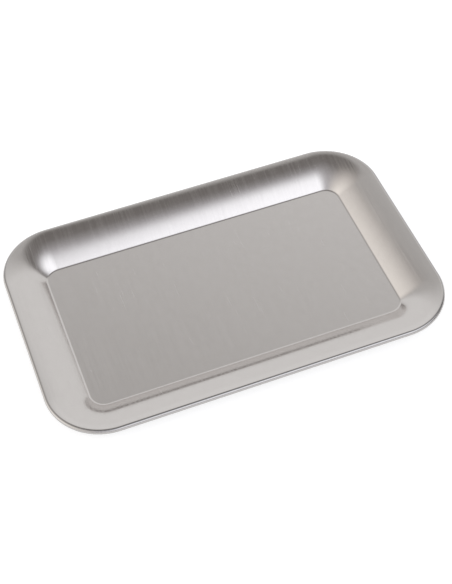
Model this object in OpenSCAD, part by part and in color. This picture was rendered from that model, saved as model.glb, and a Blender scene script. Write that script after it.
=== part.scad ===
// Shallow rectangular instrument tray, pressed from one sheet of stainless steel.
// A flat floor, a flared wall that levels out towards the rim, and an edge rolled over and under.
// Millimetres. The origin is the middle of the flat underside, +X runs along the tray's length.

/* [Tray] */
// Overall length, over the rolled edge
tray_l = 284; // [200:1:400]
// Overall width, over the rolled edge
tray_w = 183; // [120:1:280]
// Overall height, from the underside of the floor to the top of the edge
tray_h = 14; // [10:0.5:18]
// Corner radius of the outline, seen from above
corner_r = 40; // [32:1:58]
// Thickness of the steel sheet
sheet_t = 0.8; // [0.5:0.1:1]

/* [Wall] */
// Distance from the flat floor out to the outline
wall_w = 30.5; // [24:0.5:38]
// Inside radius of the crease where the floor turns up into the wall
crease_r = 2.5; // [0.5:0.1:3]
// Slope that is left in the wall where it runs into the rolled edge, in degrees
rim_slope = 9; // [3:1:12]

/* [Rolled edge] */
// Outer radius of the roll
roll_r = 2; // [1.5:0.1:3]
// How far the sheet turns past the top of the roll, in degrees
roll_turn = 270; // [180:5:280]

/* [Hidden] */

// Steps in each round stretch of the section, and facets of a full turn of the corners
CREASE_STEPS = 4;
WALL_STEPS = 14;
ROLL_STEPS = 24;
$fn = 96;

// The section is drawn as [reach, height]. Reach is measured outwards from the edge of the flat floor,
// and the flat floor runs inwards from there to the centre of the corner.
floor_corner_r = corner_r - wall_w;
crease_at = [0, sheet_t + crease_r];
roll_at = [wall_w - roll_r, tray_h - roll_r];
rim_at = roll_at + roll_r * [-sin(rim_slope), cos(rim_slope)];

// The wall is one arc. It touches the crease's circle and passes through rim_at at the slope rim_slope.
rim_from_crease = rim_at - crease_at;
wall_r = (rim_from_crease * rim_from_crease - crease_r ^ 2)
    / (2 * (crease_r + rim_from_crease * [-sin(rim_slope), cos(rim_slope)]));
wall_at = rim_at + wall_r * [sin(rim_slope), -cos(rim_slope)];
crease_slope = atan2(wall_at.x - crease_at.x, crease_at.y - wall_at.y);

// The straight stretches of the outline, between the corners
straight_l = tray_l - 2 * corner_r;
straight_w = tray_w - 2 * corner_r;

// Points along an arc
function arc(centre, radius, from, to, steps) =
    [for (i = [0:steps]) let (a = from + (to - from) * i / steps) centre + radius * [cos(a), sin(a)]];

// The sheet's upper face, from the floor outwards, round the roll to the cut edge
function upper_face() = concat(
    arc(crease_at, crease_r, -90, crease_slope - 90, CREASE_STEPS),
    arc(wall_at, wall_r, 90 + crease_slope, 90 + rim_slope, WALL_STEPS),
    arc(roll_at, roll_r, 90, 90 - roll_turn, ROLL_STEPS));

// The sheet's lower face, from the cut edge back to the floor
function lower_face() = concat(
    arc(roll_at, roll_r - sheet_t, 90 - roll_turn, 90, ROLL_STEPS),
    arc(wall_at, wall_r - sheet_t, 90 + rim_slope, 90 + crease_slope, WALL_STEPS),
    arc(crease_at, crease_r + sheet_t, crease_slope - 90, -90, CREASE_STEPS));

// Section through the sheet, from the centre of a corner to the outline
module section() {
    translate([floor_corner_r, 0])
        polygon(concat([[-floor_corner_r, 0], [-floor_corner_r, sheet_t]], upper_face(), lower_face()));
}

// A straight side as long as run, centred, with its outline at x = corner_r
module side(run) {
    rotate([90, 0, 0])
        translate([0, 0, -run / 2])
            linear_extrude(run)
                section();
}

// A quarter turn of the section
module corner() {
    rotate_extrude(angle = 90)
        section();
}

// The whole tray: floor, four sides and four corners, one sheet
module tray() {
    color("silver")
        union() {
            translate([-straight_l / 2, -straight_w / 2, 0])
                cube([straight_l, straight_w, sheet_t]);
            for (end = [0, 1])
                rotate([0, 0, 180 * end]) {
                    translate([straight_l / 2, 0, 0])
                        side(straight_w);
                    translate([0, straight_w / 2, 0])
                        rotate([0, 0, 90])
                            side(straight_l);
                    translate([straight_l / 2, straight_w / 2, 0])
                        corner();
                    translate([-straight_l / 2, straight_w / 2, 0])
                        rotate([0, 0, 90])
                            corner();
                }
        }
}

tray();
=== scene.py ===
"""Instrument tray: a shallow pressed tray of satin stainless steel, on a pale studio floor.

Metres. The tray's frame has its origin in the middle of the flat underside, +X along the tray and +Z up.
"""

import math

import bpy
from mathutils import Matrix, Vector


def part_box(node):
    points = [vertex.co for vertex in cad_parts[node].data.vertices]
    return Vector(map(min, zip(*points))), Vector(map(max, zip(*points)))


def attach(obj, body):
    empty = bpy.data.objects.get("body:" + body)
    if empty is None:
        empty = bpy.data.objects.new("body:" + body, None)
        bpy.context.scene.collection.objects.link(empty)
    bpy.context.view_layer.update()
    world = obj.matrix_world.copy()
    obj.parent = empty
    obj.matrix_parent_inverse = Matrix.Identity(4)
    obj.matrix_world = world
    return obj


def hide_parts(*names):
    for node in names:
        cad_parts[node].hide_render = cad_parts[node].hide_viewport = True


bl_info = {
    "name": "Instrument Tray",
    "version": (1, 0, 0),
    "blender": (4, 5, 0),
    "location": "View3D > Sidebar > Tray",
    "description": "Builds a pressed steel instrument tray and the studio it stands in",
    "category": "Add Mesh",
}

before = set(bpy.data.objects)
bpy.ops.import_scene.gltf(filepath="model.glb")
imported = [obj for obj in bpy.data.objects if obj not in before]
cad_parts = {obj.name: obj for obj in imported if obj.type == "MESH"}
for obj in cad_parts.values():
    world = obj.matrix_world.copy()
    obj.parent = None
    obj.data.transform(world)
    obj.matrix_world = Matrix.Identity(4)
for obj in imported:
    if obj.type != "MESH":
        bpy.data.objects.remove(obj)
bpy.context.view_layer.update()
TRAY_LOW, TRAY_HIGH = (Vector(corner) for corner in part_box("tray"))
TRAY_SIZE = TRAY_HIGH - TRAY_LOW
MM = 0.001

# Steps in each run of the sheet's section, and round and along its outline
CREASE_STEPS = 8
WALL_STEPS = 30
ROLL_STEPS = 36
INNER_ROLL_STEPS = 28
BURR_STEPS = 4
CORNER_STEPS = 40
SIDE_STEPS = (24, 14)

# Vertices closer than this are one vertex
WELD = 1e-7

# Cells of the steel's noises: across the grooves, along them and up. A 0 means no change that way.
STREAK_LENGTH = 60 * MM
FINE_CELL = (0.35 * MM, 22 * MM, 0)
HAIR_CELL = (0.12 * MM, 9 * MM, 0)
MOTTLE_CELL = (5 * MM, 7 * MM, 5 * MM)
CLOUD_CELL = (60 * MM, 45 * MM, 30 * MM)
STREAK_EDGE = (0.36, 0.64)

# Two sets of scratches: cell, turn about +Z, and the noise values where a scratch starts and is full
SCUFFS = (
    ((0.22 * MM, 14 * MM, 0), 0.6, (0.66, 0.74)),
    ((0.2 * MM, 18 * MM, 0), -0.9, (0.67, 0.75)),
)

# How strong the scratches are all over the sheet, and how much stronger where it stands
FACE_WEAR = 0.04
FOOT_WEAR = 0.8

# Heights where a mask starts and where it is full
RUBBED_RISE = (TRAY_SIZE.z - 1.6 * MM, TRAY_SIZE.z - 0.1 * MM)
STOOD_ON_DROP = (0.12 * MM, 0.02 * MM)
LIP_RISE = (9 * MM, 10.5 * MM)

# The normal's upward part where a mask starts and where it is full
# Where the sheet faces down, painted shade darkens its colour
UNDERSIDE_TURN = (0.1, -0.3)
LIP_TURN = (0.9, 0.4)
SHOULDER_TOP = (0.998, 0.97)
SHOULDER_FOOT = (0.72, 0.86)

# How far a face has to look away from the tray's middle to count as the roll's outward side
SHOULDER_SPREAD = (0, 5 * MM)

# How much painted shade and roughness the lip and the roll's outward side get, where 1 is as much as the
# underside
LIP_SHADE_AND_DULL = 0.55
SHOULDER_SHADE_AND_DULL = 0.85

# How much each noise and mask counts in the grain, the shade, the roughness and the relief
WIDE_SHARE = 0.45
FINE_SHARE = 0.35
HAIR_SHARE = 0.2
SHADE_BASE = -0.1
MOTTLE_SHADE = 0.6
STREAK_SHADE = 0.2
RUBBED_SHADE = 0.7
STREAK_ROUGH = 0.09
GRAIN_ROUGH = 0.2
CLOUD_ROUGH = 0.04
RUBBED_ROUGH = -0.09
UNPOLISHED_ROUGH = 0.12
WORN_ROUGH = 0.12
WORN_RELIEF = -0.5
FINE_RELIEF = 0.2
BUMP_STRENGTH = 0.06
BUMP_DEPTH = 0.02 * MM

# Stage: half the floor's side, its level, the sensor in millimetres and the camera's range
FLOOR_HALF = 6.0
FLOOR_LEVEL = -0.05 * MM
SENSOR_MM = 36
CLIP_NEAR = 0.05
CLIP_FAR = 50


class TraySizes(bpy.types.PropertyGroup):
    """Sizes of the pressed sheet, which match the solid part."""

    corner_r: bpy.props.FloatProperty(
        name="Corner radius",
        description="Radius of the outline's corners, seen from above",
        default=40 * MM,
        unit="LENGTH",
    )
    sheet_t: bpy.props.FloatProperty(
        name="Sheet thickness",
        description="Thickness of the steel sheet",
        default=0.8 * MM,
        unit="LENGTH",
    )
    wall_w: bpy.props.FloatProperty(
        name="Wall width",
        description="Distance from the flat floor out to the outline",
        default=30.5 * MM,
        unit="LENGTH",
    )
    crease_r: bpy.props.FloatProperty(
        name="Crease radius",
        description="Inside radius where the floor turns up into the wall",
        default=2.5 * MM,
        unit="LENGTH",
    )
    rim_slope: bpy.props.FloatProperty(
        name="Rim slope",
        description="Slope left in the wall where it runs into the rolled edge",
        default=math.radians(9),
        subtype="ANGLE",
        unit="ROTATION",
    )
    roll_r: bpy.props.FloatProperty(
        name="Roll radius",
        description="Outer radius of the rolled edge",
        default=2 * MM,
        unit="LENGTH",
    )
    roll_turn: bpy.props.FloatProperty(
        name="Roll turn",
        description="How far the sheet turns past the top of the roll",
        default=math.radians(270),
        subtype="ANGLE",
        unit="ROTATION",
    )
    burr_r: bpy.props.FloatProperty(
        name="Cut edge rounding",
        description="Rounding of the sheet's cut edge inside the roll",
        default=0.15 * MM,
        unit="LENGTH",
    )


class SteelFinish(bpy.types.PropertyGroup):
    """Colour and brushing of the stainless steel."""

    colour: bpy.props.FloatVectorProperty(
        name="Steel",
        description="Reflection colour of the brushed steel",
        default=(0.62, 0.592, 0.573),
        subtype="COLOR",
        size=3,
        min=0,
        max=1,
    )
    bright: bpy.props.FloatVectorProperty(
        name="Polished steel",
        description="Reflection colour on the crests of the brushing and on rubbed edges",
        default=(0.68, 0.655, 0.637),
        subtype="COLOR",
        size=3,
        min=0,
        max=1,
    )
    # Painted shade: a darker steel colour put on the downward-facing underside, the lower lip and the roll's
    # outward side, for the shade that they reflect
    dull_painted_shade: bpy.props.FloatVectorProperty(
        name="Painted shade on steel",
        description="Reflection colour of the underside and of the underside of the rolled edge",
        default=(0.34, 0.335, 0.33),
        subtype="COLOR",
        size=3,
        min=0,
        max=1,
    )
    roughness: bpy.props.FloatProperty(
        name="Roughness",
        description="Mean roughness of the satin finish",
        default=0.2,
        min=0,
        max=1,
    )
    anisotropy: bpy.props.FloatProperty(
        name="Brushing",
        description="How much the grooves spread reflections across themselves",
        default=0.5,
        min=0,
        max=1,
    )
    streak_w: bpy.props.FloatProperty(
        name="Streak width",
        description="Width of the widest streaks of the brushing",
        default=0.9 * MM,
        unit="LENGTH",
    )


class StudioLight(bpy.types.PropertyGroup):
    """Strength and colour of the studio's light."""

    strength: bpy.props.FloatProperty(
        name="Strength",
        description="Strength of the whole light dome",
        default=1.0,
        min=0,
    )
    key_colour: bpy.props.FloatVectorProperty(
        name="Key light",
        description="Colour and brightness of the big cool light on the right, by the camera",
        default=(1.6, 1.64, 1.74),
        size=3,
        min=0,
    )
    left_colour: bpy.props.FloatVectorProperty(
        name="Left light",
        description="Colour and brightness of the warm light on the left",
        default=(1.37, 1.325, 1.275),
        size=3,
        min=0,
    )
    front_colour: bpy.props.FloatVectorProperty(
        name="Front light",
        description="Colour and brightness of the soft light behind the camera",
        default=(0.8, 0.8, 0.85),
        size=3,
        min=0,
    )
    ceiling_colour: bpy.props.FloatVectorProperty(
        name="Ceiling",
        description="Colour and brightness of the dim ceiling",
        default=(0.22, 0.208, 0.203),
        size=3,
        min=0,
    )
    backdrop_top: bpy.props.FloatVectorProperty(
        name="Backdrop top",
        description="Colour and brightness of the top of the backdrop",
        default=(0.56, 0.555, 0.55),
        size=3,
        min=0,
    )
    backdrop_foot: bpy.props.FloatVectorProperty(
        name="Backdrop foot",
        description="Colour and brightness of the foot of the backdrop",
        default=(0.89, 0.89, 0.895),
        size=3,
        min=0,
    )
    floor_colour: bpy.props.FloatVectorProperty(
        name="Floor",
        description="Colour of the plain floor",
        default=(0.6, 0.6, 0.6),
        subtype="COLOR",
        size=3,
        min=0,
        max=1,
    )
    floor_glow: bpy.props.FloatProperty(
        name="Floor light",
        description="Light that comes through the floor from below",
        default=0.68,
        min=0,
    )


class CameraStand(bpy.types.PropertyGroup):
    """Where the camera stands and what it looks at."""

    azimuth: bpy.props.FloatProperty(
        name="Azimuth",
        description="Turn of the camera round the tray, 0 looks along +Y",
        default=math.radians(-18.55),
        subtype="ANGLE",
        unit="ROTATION",
    )
    elevation: bpy.props.FloatProperty(
        name="Elevation",
        description="Height of the camera over the horizon",
        default=math.radians(51.2),
        subtype="ANGLE",
        unit="ROTATION",
    )
    roll: bpy.props.FloatProperty(
        name="Roll",
        description="Turn of the camera about its line of sight",
        default=math.radians(-2.67),
        subtype="ANGLE",
        unit="ROTATION",
    )
    distance: bpy.props.FloatProperty(
        name="Distance",
        description="Distance from the point that it looks at",
        default=0.8807,
        unit="LENGTH",
    )
    focal: bpy.props.FloatProperty(
        name="Focal length",
        description="Focal length in millimetres, on a 36 mm sensor",
        default=77.31,
        unit="CAMERA",
    )
    aim: bpy.props.FloatVectorProperty(
        name="Aim",
        description="The point on the tray's floor that the camera looks at",
        default=(2.32 * MM, -2.27 * MM, 0.8 * MM),
        subtype="TRANSLATION",
        size=3,
    )


# ---------------------------------------------------------------------------
# The sheet's section. Points are (reach, height): reach runs outwards from the edge of the flat floor.


def arc_steps(centre, radius, start, stop, steps, outward):
    """Points along an arc with their normals: away from the centre if outward is 1, to it if it is -1."""
    made = []
    for i in range(steps + 1):
        angle = start + (stop - start) * i / steps
        ray = Vector((math.cos(angle), math.sin(angle)))
        made.append((centre + radius * ray, outward * ray))
    return made


def section_runs(size, height):
    """The section's smooth runs, in order from the floor's upper face round the sheet to its underside.

    The wall is one arc. It touches the crease's arc and meets the roll at the rim's slope.
    """
    right = math.pi / 2
    t = size.sheet_t
    crease_at = Vector((0, t + size.crease_r))
    roll_at = Vector((size.wall_w - size.roll_r, height - size.roll_r))
    rim_normal = Vector((-math.sin(size.rim_slope), math.cos(size.rim_slope)))
    rim_at = roll_at + size.roll_r * rim_normal
    span = rim_at - crease_at
    wall_r = (span.length_squared - size.crease_r**2) / (2 * (size.crease_r + span.dot(rim_normal)))
    wall_at = rim_at - wall_r * rim_normal
    crease_slope = math.atan2(wall_at.x - crease_at.x, crease_at.y - wall_at.y)
    cut = right - size.roll_turn
    inner_roll_r = size.roll_r - t
    cut_ray = Vector((math.cos(cut), math.sin(cut)))
    cut_out = Vector((math.sin(cut), -math.cos(cut)))
    burr = size.burr_r
    trim = burr / size.roll_r
    inner_trim = burr / inner_roll_r
    outer_burr_at = roll_at + (size.roll_r - burr) * cut_ray - burr * cut_out
    inner_burr_at = roll_at + (inner_roll_r + burr) * cut_ray - burr * cut_out
    floor_in = Vector((-(size.corner_r - size.wall_w), 0))
    crease_end = crease_slope - right
    wall_foot = right + crease_slope
    wall_rim = right + size.rim_slope
    upper = arc_steps(crease_at, size.crease_r, -right, crease_end, CREASE_STEPS, -1)
    upper += arc_steps(wall_at, wall_r, wall_foot, wall_rim, WALL_STEPS, 1)[1:]
    upper += arc_steps(roll_at, size.roll_r, wall_rim, cut + trim, ROLL_STEPS, 1)[1:]
    upper += arc_steps(outer_burr_at, burr, cut, cut - right, BURR_STEPS, 1)[1:]
    lower = arc_steps(inner_burr_at, burr, cut - right, cut - 2 * right, BURR_STEPS, 1)
    lower += arc_steps(roll_at, inner_roll_r, cut + inner_trim, wall_rim, INNER_ROLL_STEPS, -1)[1:]
    lower += arc_steps(wall_at, wall_r - t, wall_rim, wall_foot, WALL_STEPS, -1)[1:]
    lower += arc_steps(crease_at, size.crease_r + t, crease_end, -right, CREASE_STEPS, 1)[1:]
    floor_top = [(floor_in + Vector((0, t)), Vector((0, 1)))]
    floor_under = [(floor_in, Vector((0, -1)))]
    return floor_top + upper + lower + floor_under


def outline_steps(half_l, half_w):
    """Stations round the tray: the centre that the section turns about, and the way that it faces."""
    corners = [(half_l, half_w), (-half_l, half_w), (-half_l, -half_w), (half_l, -half_w)]
    made = []
    for turn, (x, y) in enumerate(corners):
        for i in range(CORNER_STEPS + 1):
            angle = (turn + i / CORNER_STEPS) * math.pi / 2
            made.append((Vector((x, y)), Vector((math.cos(angle), math.sin(angle)))))
        here = Vector((x, y))
        there = Vector(corners[(turn + 1) % len(corners)])
        facing = (turn + 1) * math.pi / 2
        steps = SIDE_STEPS[turn % 2]
        for i in range(1, steps):
            made.append((here.lerp(there, i / steps), Vector((math.cos(facing), math.sin(facing)))))
    return made


class SheetMesh:
    """Collects vertices, faces and the normal at each corner of each face."""

    def __init__(self):
        self.points = []
        self.faces = []
        self.normals = []
        self.known = {}

    def point(self, place):
        """The number of the vertex at a place, made the first time that it's asked for."""
        key = tuple(round(c / WELD) for c in place)
        if key not in self.known:
            self.known[key] = len(self.points)
            self.points.append(place)
        return self.known[key]

    def face(self, corners):
        """Adds a face from (vertex, normal) pairs, and leaves out a corner that repeats its neighbour."""
        kept = [c for i, c in enumerate(corners) if c[0] != corners[i - 1][0]]
        if len(kept) > 2:
            self.faces.append([c[0] for c in kept])
            self.normals += [c[1] for c in kept]

    def to_object(self, name, material):
        """The collected mesh as a smooth-shaded object in the scene."""
        mesh = bpy.data.meshes.new(name)
        mesh.from_pydata(self.points, [], self.faces)
        mesh.polygons.foreach_set("use_smooth", [True] * len(self.faces))
        mesh.normals_split_custom_set(self.normals)
        mesh.materials.append(material)
        mesh.validate()
        piece = bpy.data.objects.new(name, mesh)
        bpy.context.scene.collection.objects.link(piece)
        return piece


def press_sheet(size):
    """The whole tray as one closed skin round the sheet."""
    half_l = TRAY_SIZE.x / 2 - size.corner_r
    half_w = TRAY_SIZE.y / 2 - size.corner_r
    section = section_runs(size, TRAY_SIZE.z)
    stations = outline_steps(half_l, half_w)
    floor_r = size.corner_r - size.wall_w
    sheet = SheetMesh()

    def corner(station, step):
        """Vertex and normal of one step of the section at one station."""
        centre, way = station
        spot, normal = step
        reach = floor_r + spot.x
        place = (centre.x + way.x * reach, centre.y + way.y * reach, spot.y)
        return sheet.point(place), (way.x * normal.x, way.y * normal.x, normal.y)

    for j, station in enumerate(stations):
        after = stations[(j + 1) % len(stations)]
        for step, following in zip(section, section[1:]):
            quad = [corner(station, step), corner(station, following)]
            quad += [corner(after, following), corner(after, step)]
            sheet.face(quad)

    cols, rows = SIDE_STEPS
    for level, normal in ((size.sheet_t, (0, 0, 1)), (0, (0, 0, -1))):
        for i in range(cols):
            for k in range(rows):
                cell = [(i, k), (i + 1, k), (i + 1, k + 1), (i, k + 1)]
                if normal[2] < 0:
                    cell.reverse()
                spots = [(half_l * (2 * a / cols - 1), half_w * (2 * b / rows - 1), level) for a, b in cell]
                sheet.face([(sheet.point(spot), normal) for spot in spots])
    return sheet


# ---------------------------------------------------------------------------
# Materials


class NodeBench:
    """Short calls that add and wire nodes in one tree."""

    def __init__(self, tree):
        self.tree = tree
        tree.nodes.clear()

    def add(self, kind, **settings):
        """A new node, with its settings set by name."""
        node = self.tree.nodes.new(kind)
        for key, value in settings.items():
            setattr(node, key, value)
        return node

    def feed(self, socket, value):
        """Links a socket to another one, or sets it to a plain value."""
        if isinstance(value, bpy.types.NodeSocket):
            self.tree.links.new(value, socket)
        else:
            socket.default_value = value

    def math(self, operation, a, b=0.0, c=0.0):
        """One sum on up to three values or sockets."""
        node = self.add("ShaderNodeMath", operation=operation)
        for socket, value in zip(node.inputs, (a, b, c)):
            self.feed(socket, value)
        return node.outputs[0]

    def plus(self, total, value, weight):
        """A total with value times weight added to it."""
        return self.math("MULTIPLY_ADD", value, weight, total)

    def ramp(self, value, low, high, smooth=True):
        """A step from 0 to 1 as value goes from low to high, smooth or straight."""
        node = self.add("ShaderNodeMapRange", interpolation_type="SMOOTHSTEP" if smooth else "LINEAR")
        for name, v in (("Value", value), ("From Min", low), ("From Max", high)):
            self.feed(node.inputs[name], v)
        return node.outputs["Result"]

    def noise(self, where, cell, detail=2.0, rough=0.5, turn=0.0):
        """Noise whose cells measure cell = (x, y, z) in metres, turned about +Z."""
        if turn:
            spin = self.add("ShaderNodeVectorRotate", rotation_type="Z_AXIS")
            self.feed(spin.inputs["Vector"], where)
            self.feed(spin.inputs["Angle"], turn)
            where = spin.outputs[0]
        mapping = self.add("ShaderNodeMapping")
        self.feed(mapping.inputs["Vector"], where)
        mapping.inputs["Scale"].default_value = [1 / c if c else 0 for c in cell]
        node = self.add("ShaderNodeTexNoise")
        self.feed(node.inputs["Vector"], mapping.outputs[0])
        node.inputs["Scale"].default_value = 1
        node.inputs["Detail"].default_value = detail
        node.inputs["Roughness"].default_value = rough
        return node.outputs["Fac"]

    def mix(self, factor, a, b):
        """Colour a where the factor is 0 and b where it is 1."""
        node = self.add("ShaderNodeMix", data_type="RGBA")
        self.feed(node.inputs["Factor"], factor)
        self.feed(node.inputs["A"], a)
        self.feed(node.inputs["B"], b)
        return node.outputs["Result"]


def steel_masks(bench, coords):
    """Masks from 0 to 1, by name, for the parts of the sheet whose finish differs, one of them for painted
    shade.
    """
    place = bench.add("ShaderNodeSeparateXYZ")
    bench.feed(place.inputs[0], coords.outputs["Object"])
    facing = bench.add("ShaderNodeSeparateXYZ")
    bench.feed(facing.inputs[0], coords.outputs["Normal"])
    high = place.outputs["Z"]
    upright = facing.outputs["Z"]
    spread = bench.math("MULTIPLY", place.outputs["X"], facing.outputs["X"])
    spread = bench.plus(spread, place.outputs["Y"], facing.outputs["Y"])

    shoulder = bench.math("MULTIPLY", bench.ramp(upright, *SHOULDER_TOP), bench.ramp(upright, *SHOULDER_FOOT))
    shoulder = bench.math("MULTIPLY", shoulder, bench.ramp(spread, *SHOULDER_SPREAD))
    shoulder = bench.math("MULTIPLY", shoulder, SHOULDER_SHADE_AND_DULL)
    lip = bench.math("MULTIPLY", bench.ramp(high, *LIP_RISE), bench.ramp(upright, *LIP_TURN))
    lip = bench.math("MULTIPLY", lip, LIP_SHADE_AND_DULL)
    underside = bench.ramp(upright, *UNDERSIDE_TURN)
    # Painted shade and a rougher finish share this mask: the underside, the lip and the roll's outward
    # shoulder
    dull_painted_shade = bench.math("MAXIMUM", bench.math("MAXIMUM", underside, lip), shoulder)
    rubbed = bench.ramp(high, *RUBBED_RISE)
    stood_on = bench.ramp(high, *STOOD_ON_DROP)
    return {"dull_painted_shade": dull_painted_shade, "rubbed": rubbed, "stood_on": stood_on}


def brushed_steel(finish):
    """Satin stainless steel, brushed across the tray along Y before it was pressed."""
    material = bpy.data.materials.new("satin_steel")
    material.use_nodes = True
    bench = NodeBench(material.node_tree)
    coords = bench.add("ShaderNodeTexCoord")
    where = coords.outputs["Object"]
    masks = steel_masks(bench, coords)

    wide = bench.noise(where, (finish.streak_w, STREAK_LENGTH, 0), detail=3, rough=0.6)
    fine = bench.noise(where, FINE_CELL, detail=3, rough=0.6)
    hair = bench.noise(where, HAIR_CELL, detail=2, rough=0.5)
    mottle = bench.noise(where, MOTTLE_CELL, detail=3, rough=0.6)
    cloud = bench.noise(where, CLOUD_CELL, detail=3, rough=0.55)
    streak = bench.ramp(wide, *STREAK_EDGE)
    grain = bench.math("MULTIPLY", hair, HAIR_SHARE)
    grain = bench.plus(grain, fine, FINE_SHARE)
    grain = bench.plus(grain, wide, WIDE_SHARE)

    scuffs = []
    for cell, turn, edge in SCUFFS:
        scratch = bench.noise(where, cell, detail=2, rough=0.6, turn=turn)
        scuffs.append(bench.ramp(scratch, *edge))
    wear = bench.plus(FACE_WEAR, masks["stood_on"], FOOT_WEAR)
    worn = bench.math("MULTIPLY", bench.math("MAXIMUM", *scuffs), wear)

    shade = bench.plus(SHADE_BASE, mottle, MOTTLE_SHADE)
    shade = bench.plus(shade, streak, STREAK_SHADE)
    shade = bench.math("MAXIMUM", shade, bench.math("MULTIPLY", masks["rubbed"], RUBBED_SHADE))
    colour = bench.mix(shade, (*finish.colour, 1), (*finish.bright, 1))
    # Painted shade: the colour is mixed towards the dark colour on the underside, the lip and the roll's
    # shoulder
    colour = bench.mix(masks["dull_painted_shade"], colour, (*finish.dull_painted_shade, 1))

    rough = finish.roughness - STREAK_ROUGH / 2
    for value, weight in (
        (streak, STREAK_ROUGH),
        (bench.math("SUBTRACT", grain, 0.5), GRAIN_ROUGH),
        (bench.math("SUBTRACT", cloud, 0.5), CLOUD_ROUGH),
        (masks["rubbed"], RUBBED_ROUGH),
        (masks["dull_painted_shade"], UNPOLISHED_ROUGH),
        (worn, WORN_ROUGH),
    ):
        rough = bench.plus(rough, value, weight)

    relief = bench.plus(wide, worn, WORN_RELIEF)
    relief = bench.plus(relief, fine, FINE_RELIEF)
    bump = bench.add("ShaderNodeBump")
    bump.inputs["Strength"].default_value = BUMP_STRENGTH
    bump.inputs["Distance"].default_value = BUMP_DEPTH
    bench.feed(bump.inputs["Height"], relief)

    across = bench.add("ShaderNodeCombineXYZ")
    across.inputs["X"].default_value = 1
    shader = bench.add("ShaderNodeBsdfPrincipled")
    shader.inputs["Metallic"].default_value = 1
    shader.inputs["Anisotropic"].default_value = finish.anisotropy
    bench.feed(shader.inputs["Base Color"], colour)
    bench.feed(shader.inputs["Roughness"], rough)
    bench.feed(shader.inputs["Normal"], bump.outputs[0])
    bench.feed(shader.inputs["Tangent"], across.outputs[0])
    out = bench.add("ShaderNodeOutputMaterial")
    bench.feed(out.inputs["Surface"], shader.outputs[0])
    return material


def studio_floor(light):
    """Plain pale floor, lit a little from below. Seen from below it's clear, so the tray shows through."""
    material = bpy.data.materials.new("pale_floor")
    material.use_nodes = True
    bench = NodeBench(material.node_tree)
    shader = bench.add("ShaderNodeBsdfPrincipled")
    shader.inputs["Base Color"].default_value = (*light.floor_colour, 1)
    shader.inputs["Roughness"].default_value = 0.9
    shader.inputs["Specular IOR Level"].default_value = 0.1
    shader.inputs["Emission Color"].default_value = (1, 1, 1, 1)
    shader.inputs["Emission Strength"].default_value = light.floor_glow
    sides = bench.add("ShaderNodeMixShader")
    bench.feed(sides.inputs[0], bench.add("ShaderNodeNewGeometry").outputs["Backfacing"])
    bench.feed(sides.inputs[1], shader.outputs[0])
    bench.feed(sides.inputs[2], bench.add("ShaderNodeBsdfTransparent").outputs[0])
    out = bench.add("ShaderNodeOutputMaterial")
    bench.feed(out.inputs["Surface"], sides.outputs[0])
    return material


def light_dome(light, camera_way):
    """The world: a dim ceiling, a pale backdrop and three large soft lights, as seen from the tray."""
    world = bpy.data.worlds.new("studio_dome")
    world.use_nodes = True
    bench = NodeBench(world.node_tree)
    ray = bench.add("ShaderNodeTexCoord").outputs["Generated"]
    right_way = Vector((-camera_way.y, camera_way.x, 0))

    def area(azimuth, elevation, outer, inner, soft=True):
        """1 within the inner angle of a direction, 0 past the outer one. Azimuth 0 is towards the camera."""
        turn = math.radians(azimuth)
        lift = math.radians(elevation)
        level = math.cos(turn) * camera_way + math.sin(turn) * right_way
        node = bench.add("ShaderNodeVectorMath", operation="DOT_PRODUCT")
        bench.feed(node.inputs[0], ray)
        node.inputs[1].default_value = math.cos(lift) * level + Vector((0, 0, math.sin(lift)))
        low = math.cos(math.radians(outer))
        high = math.cos(math.radians(inner))
        return bench.ramp(node.outputs["Value"], low, high, smooth=soft)

    front = area(azimuth=20, elevation=30, outer=66, inner=10, soft=False)
    left = area(azimuth=-80, elevation=18, outer=62, inner=0, soft=False)
    key_front = area(azimuth=27, elevation=-18, outer=103, inner=80)
    key_side = area(azimuth=90, elevation=-8, outer=97, inner=70)
    key_top = area(azimuth=0, elevation=90, outer=68, inner=46)
    backdrop_low = area(azimuth=160, elevation=-40, outer=98, inner=82, soft=False)
    backdrop_edge = area(azimuth=177, elevation=10, outer=60, inner=53)

    lit = bench.mix(front, (*light.ceiling_colour, 1), (*light.front_colour, 1))
    lit = bench.mix(left, lit, (*light.left_colour, 1))
    key = bench.math("MULTIPLY", key_front, key_side)
    key = bench.math("MULTIPLY", key, key_top)
    lit = bench.mix(key, lit, (*light.key_colour, 1))
    backdrop = bench.mix(backdrop_low, (*light.backdrop_top, 1), (*light.backdrop_foot, 1))
    lit = bench.mix(backdrop_edge, lit, backdrop)
    background = bench.add("ShaderNodeBackground")
    bench.feed(background.inputs["Color"], lit)
    background.inputs["Strength"].default_value = light.strength
    out = bench.add("ShaderNodeOutputWorld")
    bench.feed(out.inputs["Surface"], background.outputs[0])
    bpy.context.scene.world = world


def lay_floor(light):
    """A plain floor a hair below the tray, so that the two flat faces don't share a plane."""
    signs = ((-1, -1), (1, -1), (1, 1), (-1, 1))
    corners = [(x * FLOOR_HALF, y * FLOOR_HALF, FLOOR_LEVEL) for x, y in signs]
    mesh = bpy.data.meshes.new("floor")
    mesh.from_pydata(corners, [], [(0, 1, 2, 3)])
    mesh.materials.append(studio_floor(light))
    floor = bpy.data.objects.new("floor", mesh)
    bpy.context.scene.collection.objects.link(floor)


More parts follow.
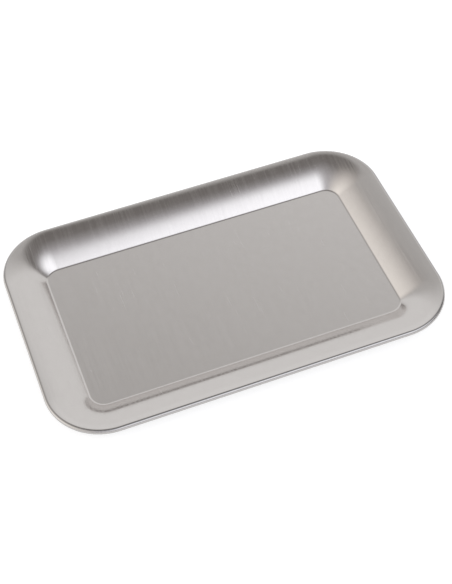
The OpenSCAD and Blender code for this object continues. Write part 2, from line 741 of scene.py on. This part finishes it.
def stand_camera(stand):
    """The camera, turned about its own line of sight by the stand's roll."""
    back = Vector((
        math.sin(stand.azimuth) * math.cos(stand.elevation),
        -math.cos(stand.azimuth) * math.cos(stand.elevation),
        math.sin(stand.elevation),
    ))
    right = Vector((math.cos(stand.azimuth), math.sin(stand.azimuth), 0))
    up = back.cross(right)
    turned_right = math.cos(stand.roll) * right + math.sin(stand.roll) * up
    turned_up = math.cos(stand.roll) * up - math.sin(stand.roll) * right
    data = bpy.data.cameras.new("camera")
    data.lens = stand.focal
    data.sensor_width = SENSOR_MM
    data.clip_start = CLIP_NEAR
    data.clip_end = CLIP_FAR
    camera = bpy.data.objects.new("camera", data)
    turn = Matrix((turned_right, turned_up, back)).transposed().to_4x4()
    camera.matrix_world = Matrix.Translation(Vector(stand.aim) + back * stand.distance) @ turn
    bpy.context.scene.collection.objects.link(camera)
    bpy.context.scene.camera = camera
    return back


# ---------------------------------------------------------------------------
# Operators and panel


class TRAY_OT_press(bpy.types.Operator):
    """Press the tray from one sheet of satin steel"""

    bl_idname = "tray.press"
    bl_label = "Press Tray"

    def execute(self, context):
        scene = context.scene
        sheet = press_sheet(scene.tray_sizes)
        if not sheet.faces:
            raise RuntimeError("the tray has no faces")
        piece = sheet.to_object("tray_sheet", brushed_steel(scene.tray_finish))
        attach(piece, "root")
        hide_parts("tray")
        return {"FINISHED"}


class TRAY_OT_stage(bpy.types.Operator):
    """Lay the floor, hang the light dome and stand the camera"""

    bl_idname = "tray.stage"
    bl_label = "Set Stage"

    def execute(self, context):
        scene = context.scene
        scene.view_settings.view_transform = "Standard"
        lay_floor(scene.tray_light)
        back = stand_camera(scene.tray_camera)
        light_dome(scene.tray_light, Vector((back.x, back.y, 0)).normalized())
        return {"FINISHED"}


class TRAY_PT_panel(bpy.types.Panel):
    """Buttons and values for the tray"""

    bl_label = "Instrument Tray"
    bl_idname = "TRAY_PT_panel"
    bl_space_type = "VIEW_3D"
    bl_region_type = "UI"
    bl_category = "Tray"

    def draw(self, context):
        for group, _ in GROUPS:
            values = getattr(context.scene, group)
            column = self.layout.column()
            for name in values.__annotations__:
                column.prop(values, name)
        for operator in OPERATORS:
            self.layout.operator(operator.bl_idname)


GROUPS = (
    ("tray_sizes", TraySizes),
    ("tray_finish", SteelFinish),
    ("tray_light", StudioLight),
    ("tray_camera", CameraStand),
)
OPERATORS = (TRAY_OT_press, TRAY_OT_stage)


def register():
    for name, group in GROUPS:
        bpy.utils.register_class(group)
        setattr(bpy.types.Scene, name, bpy.props.PointerProperty(type=group))
    for cls in (*OPERATORS, TRAY_PT_panel):
        bpy.utils.register_class(cls)


def unregister():
    for cls in (TRAY_PT_panel, *reversed(OPERATORS)):
        bpy.utils.unregister_class(cls)
    for name, group in reversed(GROUPS):
        delattr(bpy.types.Scene, name)
        bpy.utils.unregister_class(group)


def main():
    register()
    bpy.ops.tray.press()
    bpy.ops.tray.stage()


if __name__ == "__main__":
    main()
